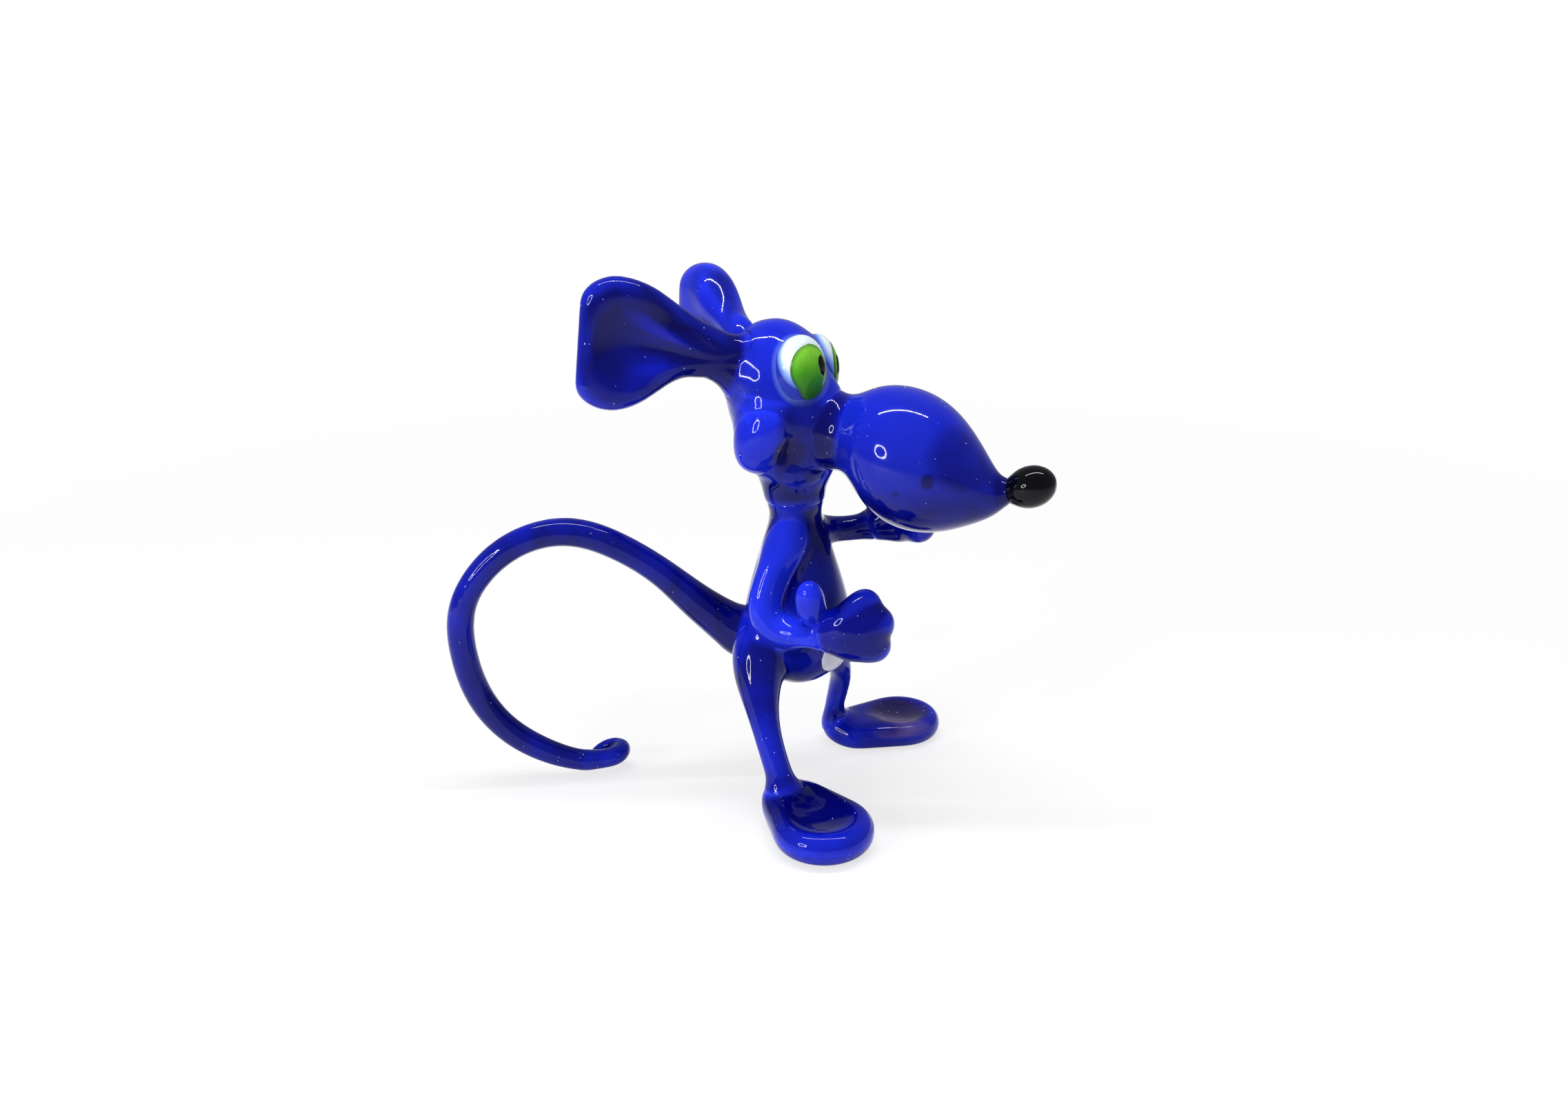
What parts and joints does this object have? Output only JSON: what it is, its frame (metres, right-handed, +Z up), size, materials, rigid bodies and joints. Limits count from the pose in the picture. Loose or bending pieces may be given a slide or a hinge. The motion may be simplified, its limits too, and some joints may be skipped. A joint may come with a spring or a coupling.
{
  "type": "glass_figurine",
  "caption": "Upright lampworked glass rat figurine in cobalt blue, standing on flat dished feet with one arm held out and a long tail looped behind it",
  "frame": {"origin": "on the table, under the middle of the figure's bounding box", "axes": "+Z up, -Y the way the rat faces, -X its right side"},
  "size_m": [0.0417, 0.0708, 0.0635],
  "materials": {
    "cobalt_glass": "fire polished gloss",
    "nose_glass": "fire polished gloss",
    "white_glass": "fire polished gloss",
    "green_glass": "fire polished gloss",
    "black_glass": "fire polished gloss"
  },
  "bodies": {
    "root": {"torso": "cobalt_glass", "belly_patch": "white_glass", "head": "cobalt_glass", "muzzle": "cobalt_glass", "nose": "nose_glass", "right_ear": "cobalt_glass", "left_ear": "cobalt_glass", "right_cheek": "cobalt_glass", "left_cheek": "cobalt_glass", "lower_lip": "cobalt_glass", "right_eye_white": "white_glass", "left_eye_white": "white_glass", "right_iris": "green_glass", "left_iris": "green_glass", "right_pupil": "black_glass", "left_pupil": "black_glass", "right_arm": "cobalt_glass", "left_arm": "cobalt_glass", "right_hand": "cobalt_glass", "left_hand": "cobalt_glass", "right_thumb": "cobalt_glass", "left_thumb": "cobalt_glass", "right_leg": "cobalt_glass", "left_leg": "cobalt_glass", "right_foot": "cobalt_glass", "left_foot": "cobalt_glass", "tail": "cobalt_glass"}
  },
  "joints": []
}
